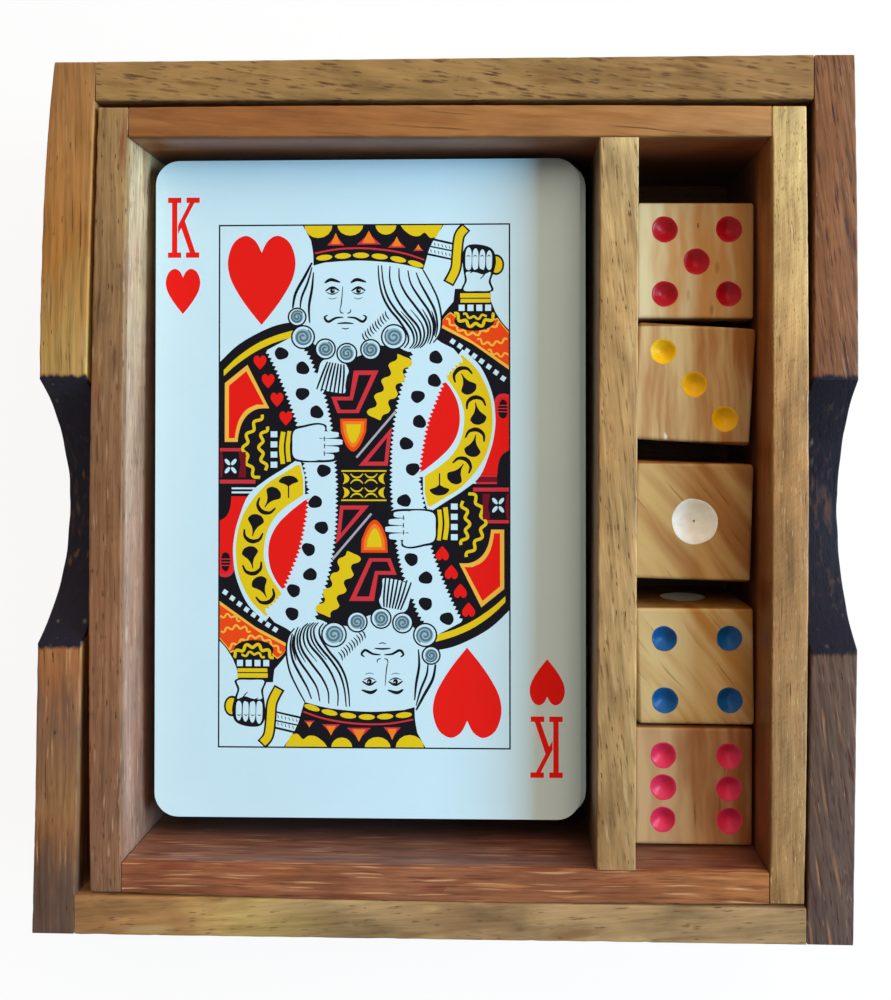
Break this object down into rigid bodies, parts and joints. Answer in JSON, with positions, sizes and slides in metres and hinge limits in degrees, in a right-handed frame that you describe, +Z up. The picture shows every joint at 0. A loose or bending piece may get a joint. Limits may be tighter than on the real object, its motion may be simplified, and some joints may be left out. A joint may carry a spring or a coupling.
{
  "type": "card and dice box",
  "caption": "Open wooden box with a finger notch in each long side, holding a lift-out tray with a well for a deck of playing cards and a well for a row of wooden dice.",
  "frame": {"origin": "middle of the underside of the outer box", "axes": "+X across the box from the card well to the dice well, +Y along the box from its near end to its far end, +Z up, the way the tray lifts out"},
  "size_m": [0.104, 0.1122, 0.03],
  "materials": {
    "golden_wood": "satin",
    "tan_wood": "satin",
    "brown_wood": "satin",
    "red_wood": "satin",
    "pale_wood": "satin",
    "dark_wood": "matte",
    "die_wood": "matte",
    "card_stock": "satin"
  },
  "bodies": {
    "box": {"box_left_side": "golden_wood", "box_right_side": "brown_wood", "box_far_end": "tan_wood", "box_near_end": "tan_wood", "box_base": "dark_wood"},
    "tray": {"tray_left_side": "brown_wood", "tray_right_side": "pale_wood", "tray_far_end": "golden_wood", "tray_near_end": "red_wood", "tray_base": "dark_wood", "tray_divider": "pale_wood"},
    "deck": {"card_packet_lowest": "card_stock", "card_12": "card_stock", "card_13": "card_stock", "card_14": "card_stock", "card_15": "card_stock", "card_16": "card_stock", "card_17": "card_stock", "card_18": "card_stock", "card_19": "card_stock", "card_20": "card_stock", "card_21": "card_stock", "card_22": "card_stock", "card_23": "card_stock", "card_24": "card_stock", "card_25": "card_stock", "card_26": "card_stock", "card_27": "card_stock", "card_28": "card_stock", "card_29": "card_stock", "card_30": "card_stock", "card_31": "card_stock", "card_32": "card_stock", "card_33": "card_stock", "card_34": "card_stock", "card_35": "card_stock", "card_36": "card_stock", "card_37": "card_stock", "card_38": "card_stock", "card_39": "card_stock", "card_40": "card_stock", "card_41": "card_stock", "card_42": "card_stock", "card_43": "card_stock", "card_44": "card_stock", "card_45": "card_stock", "card_46": "card_stock", "card_47": "card_stock", "card_48": "card_stock", "card_49": "card_stock", "card_50": "card_stock", "card_51": "card_stock", "card_52": "card_stock", "card_53": "card_stock"},
    "top_card": {"king_card": "card_stock"},
    "die_five": {"die_showing_five": "die_wood"},
    "die_three": {"die_showing_three": "die_wood"},
    "die_one": {"die_showing_one": "die_wood"},
    "die_four": {"die_showing_four": "die_wood"},
    "die_six": {"die_showing_six": "die_wood"}
  },
  "joints": [
    {"name": "tray_lift", "type": "slide", "parent": "box", "child": "tray", "axis": [0, 0, 1], "range_m": [0, 0.035]},
    {"name": "deck_lift", "type": "slide", "parent": "tray", "child": "deck", "axis": [0, 0, 1], "range_m": [0, 0.03]},
    {"name": "top_card_lift", "type": "slide", "parent": "deck", "child": "top_card", "axis": [0, 0, 1], "range_m": [0, 0.02]},
    {"name": "die_five_lift", "type": "slide", "parent": "tray", "child": "die_five", "axis": [0, 0, 1], "range_m": [0, 0.03]},
    {"name": "die_three_lift", "type": "slide", "parent": "tray", "child": "die_three", "axis": [0, 0, 1], "range_m": [0, 0.03]},
    {"name": "die_one_lift", "type": "slide", "parent": "tray", "child": "die_one", "axis": [0, 0, 1], "range_m": [0, 0.03]},
    {"name": "die_four_lift", "type": "slide", "parent": "tray", "child": "die_four", "axis": [0, 0, 1], "range_m": [0, 0.03]},
    {"name": "die_six_lift", "type": "slide", "parent": "tray", "child": "die_six", "axis": [0, 0, 1], "range_m": [0, 0.03]}
  ]
}
